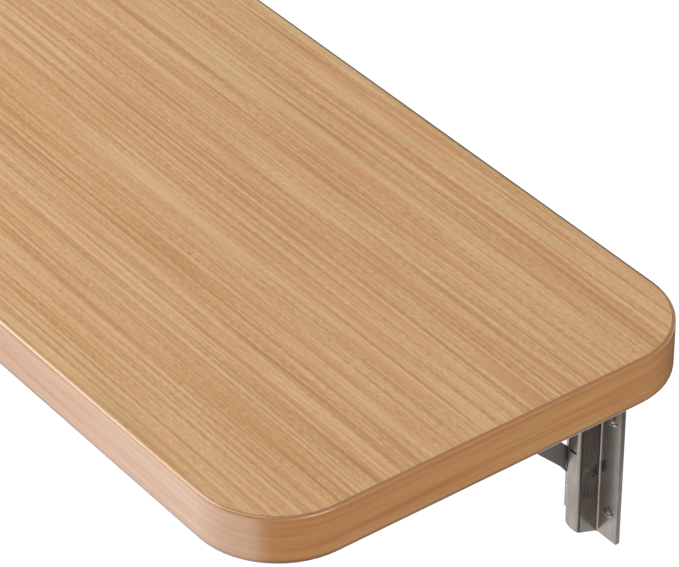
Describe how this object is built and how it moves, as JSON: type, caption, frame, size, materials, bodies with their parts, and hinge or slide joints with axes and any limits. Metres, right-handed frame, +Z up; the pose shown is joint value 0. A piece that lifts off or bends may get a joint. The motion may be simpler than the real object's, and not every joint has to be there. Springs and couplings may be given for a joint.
{
  "type": "wall mounted drop leaf table",
  "caption": "Wall table: an oak laminate board with rounded corners on folding steel brackets; the leaf drops flat to the wall and the diagonal braces swing down with it.",
  "frame": {"origin": "on the wall plane, at the middle of the board's length, at the height of the middle wall screws", "axes": "+X along the wall, +Y into the wall, +Z up"},
  "size_m": [0.8, 0.304, 0.1945],
  "materials": {
    "oak_laminate": "satin laminate",
    "oak_edge": "satin edge band",
    "core_board": "raw particle board",
    "satin_steel": "satin",
    "screw_steel": "bright plated",
    "pin_steel": "turned",
    "washer_steel": "satin"
  },
  "bodies": {
    "wall": {"right_wall_arm": "satin_steel", "right_wall_screws": "screw_steel", "right_leaf_pivot_pin": "pin_steel", "right_pivot_spacer": "washer_steel", "right_pivot_washer": "washer_steel", "right_brace_rivet": "pin_steel", "right_brace_washer": "washer_steel", "left_wall_arm": "satin_steel", "left_wall_screws": "screw_steel", "left_leaf_pivot_pin": "pin_steel", "left_pivot_spacer": "washer_steel", "left_pivot_washer": "washer_steel", "left_brace_rivet": "pin_steel", "left_brace_washer": "washer_steel"},
    "leaf": {"tabletop_core": "core_board", "top_laminate": "oak_laminate", "bottom_laminate": "oak_laminate", "edge_band": "oak_edge", "right_table_arm": "satin_steel", "right_arm_screws": "screw_steel", "left_table_arm": "satin_steel", "left_arm_screws": "screw_steel"},
    "right_brace": {"right_brace": "satin_steel", "right_track_pin": "pin_steel"},
    "left_brace": {"left_brace": "satin_steel", "left_track_pin": "pin_steel"}
  },
  "joints": [
    {"name": "leaf_fold", "type": "hinge", "parent": "wall", "child": "leaf", "pos_m": [0, -0.012, 0.069], "axis": [1, 0, 0], "range_deg": [0, 90]},
    {"name": "right_brace_swing", "type": "hinge", "parent": "wall", "child": "right_brace", "pos_m": [0.3022, -0.012, -0.03782], "axis": [1, 0, 0], "range_deg": [0, 134.81]},
    {"name": "left_brace_swing", "type": "hinge", "parent": "wall", "child": "left_brace", "pos_m": [-0.3022, -0.012, -0.03782], "axis": [1, 0, 0], "range_deg": [0, 134.81]}
  ],
  "couplings": [
    {"joint": "right_brace_swing", "follows": "leaf_fold", "ratio": 1.4978},
    {"joint": "left_brace_swing", "follows": "leaf_fold", "ratio": 1.4978}
  ]
}
